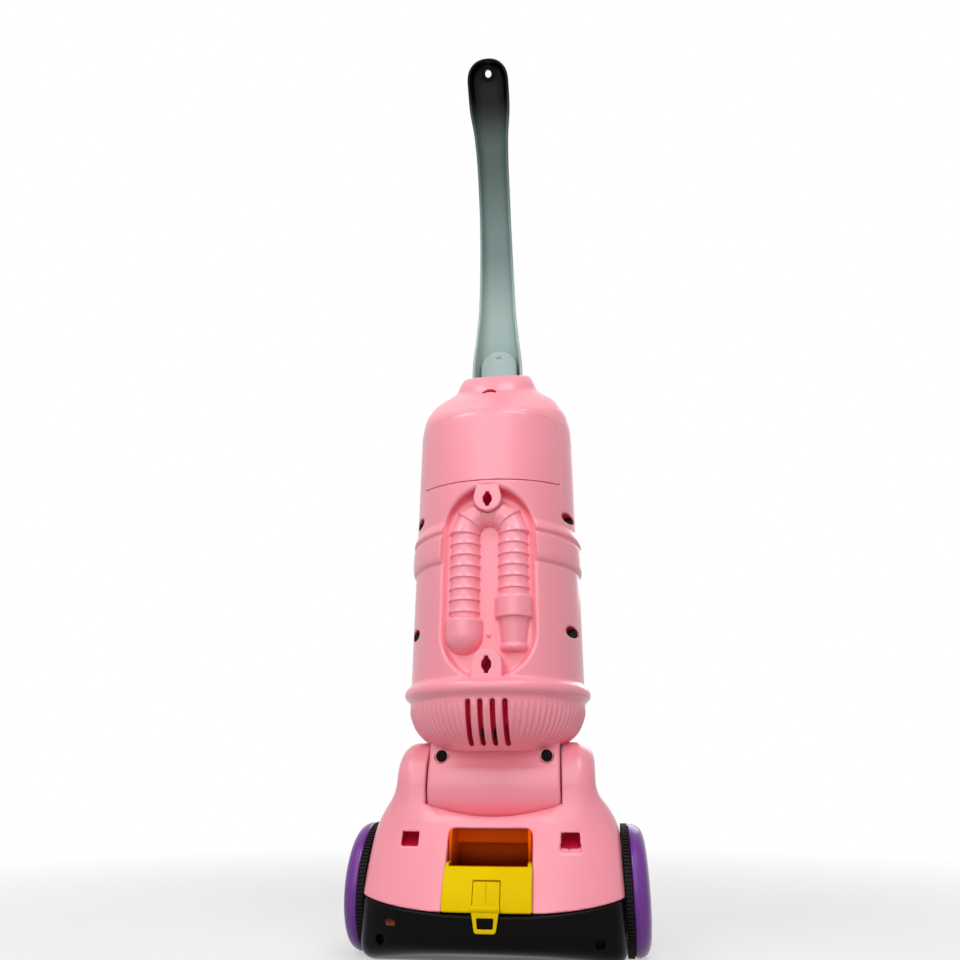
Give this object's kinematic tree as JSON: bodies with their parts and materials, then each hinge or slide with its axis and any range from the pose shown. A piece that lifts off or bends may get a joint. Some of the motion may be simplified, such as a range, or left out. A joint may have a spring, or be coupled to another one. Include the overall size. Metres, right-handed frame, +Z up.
{
  "type": "toy vacuum cleaner",
  "caption": "Upright toy vacuum cleaner: tilting body with a moulded hose and battery cover, channel handle, and a wheeled head with a pull-out bin.",
  "frame": {"origin": "on the floor, under the middle of the whole toy's box", "axes": "+Z up, -Y is the back of the body (the side with the moulded hose), +X to the right seen from the back"},
  "size_m": [0.1764, 0.1736, 0.6422],
  "materials": {
    "pink": "glossy moulded plastic",
    "grey": "satin moulded plastic",
    "black": "glossy black plastic",
    "yellow": "glossy moulded plastic",
    "purple": "glossy moulded plastic",
    "tread": "matt black plastic",
    "steel": "plated steel",
    "blackened": "blackened steel",
    "cell": "plain metal jacket",
    "board": "green board"
  },
  "bodies": {
    "head": {"head_upper": "pink", "head_base": "black", "head_screws": "steel", "hinge_pin": "steel", "axle": "steel"},
    "upright": {"rear_shell": "pink", "front_shell": "pink", "battery_cover": "pink", "battery_box": "black", "batteries": "cell", "battery_contacts": "steel", "circuit_board": "board", "speaker": "black", "body_screws": "steel", "hinge_neck": "pink", "neck_screws": "blackened", "handle_shell": "grey", "handle_tongue": "grey"},
    "left_wheel": {"wheel_left": "purple", "tyre_left": "tread"},
    "right_wheel": {"wheel_right": "purple", "tyre_right": "tread"},
    "bin": {"dust_bin": "yellow"},
    "latch": {"bin_latch": "yellow"},
    "button": {"power_button": "purple"}
  },
  "joints": [
    {"name": "body_tilt", "type": "hinge", "parent": "head", "child": "upright", "pos_m": [0, -0.00823, 0.09], "axis": [1, 0, 0], "range_deg": [0, 45]},
    {"name": "left_wheel_spin", "type": "hinge", "parent": "head", "child": "left_wheel", "pos_m": [-0.08, -0.00123, 0.0345], "axis": [1, 0, 0], "continuous": true},
    {"name": "right_wheel_spin", "type": "hinge", "parent": "head", "child": "right_wheel", "pos_m": [0.08, -0.00123, 0.0345], "axis": [1, 0, 0], "continuous": true},
    {"name": "bin_slide", "type": "slide", "parent": "head", "child": "bin", "axis": [0, -1, 0], "range_m": [0, 0.046]},
    {"name": "latch_flex", "type": "hinge", "parent": "bin", "child": "latch", "pos_m": [0, -0.05506, 0.0428], "axis": [-1, 0, 0], "range_deg": [0, 18], "stiffness_Nm_per_rad": 0.02},
    {"name": "button_press", "type": "slide", "parent": "upright", "child": "button", "axis": [0, -1, 0], "range_m": [0, 0.002], "stiffness_N_per_m": 300}
  ]
}
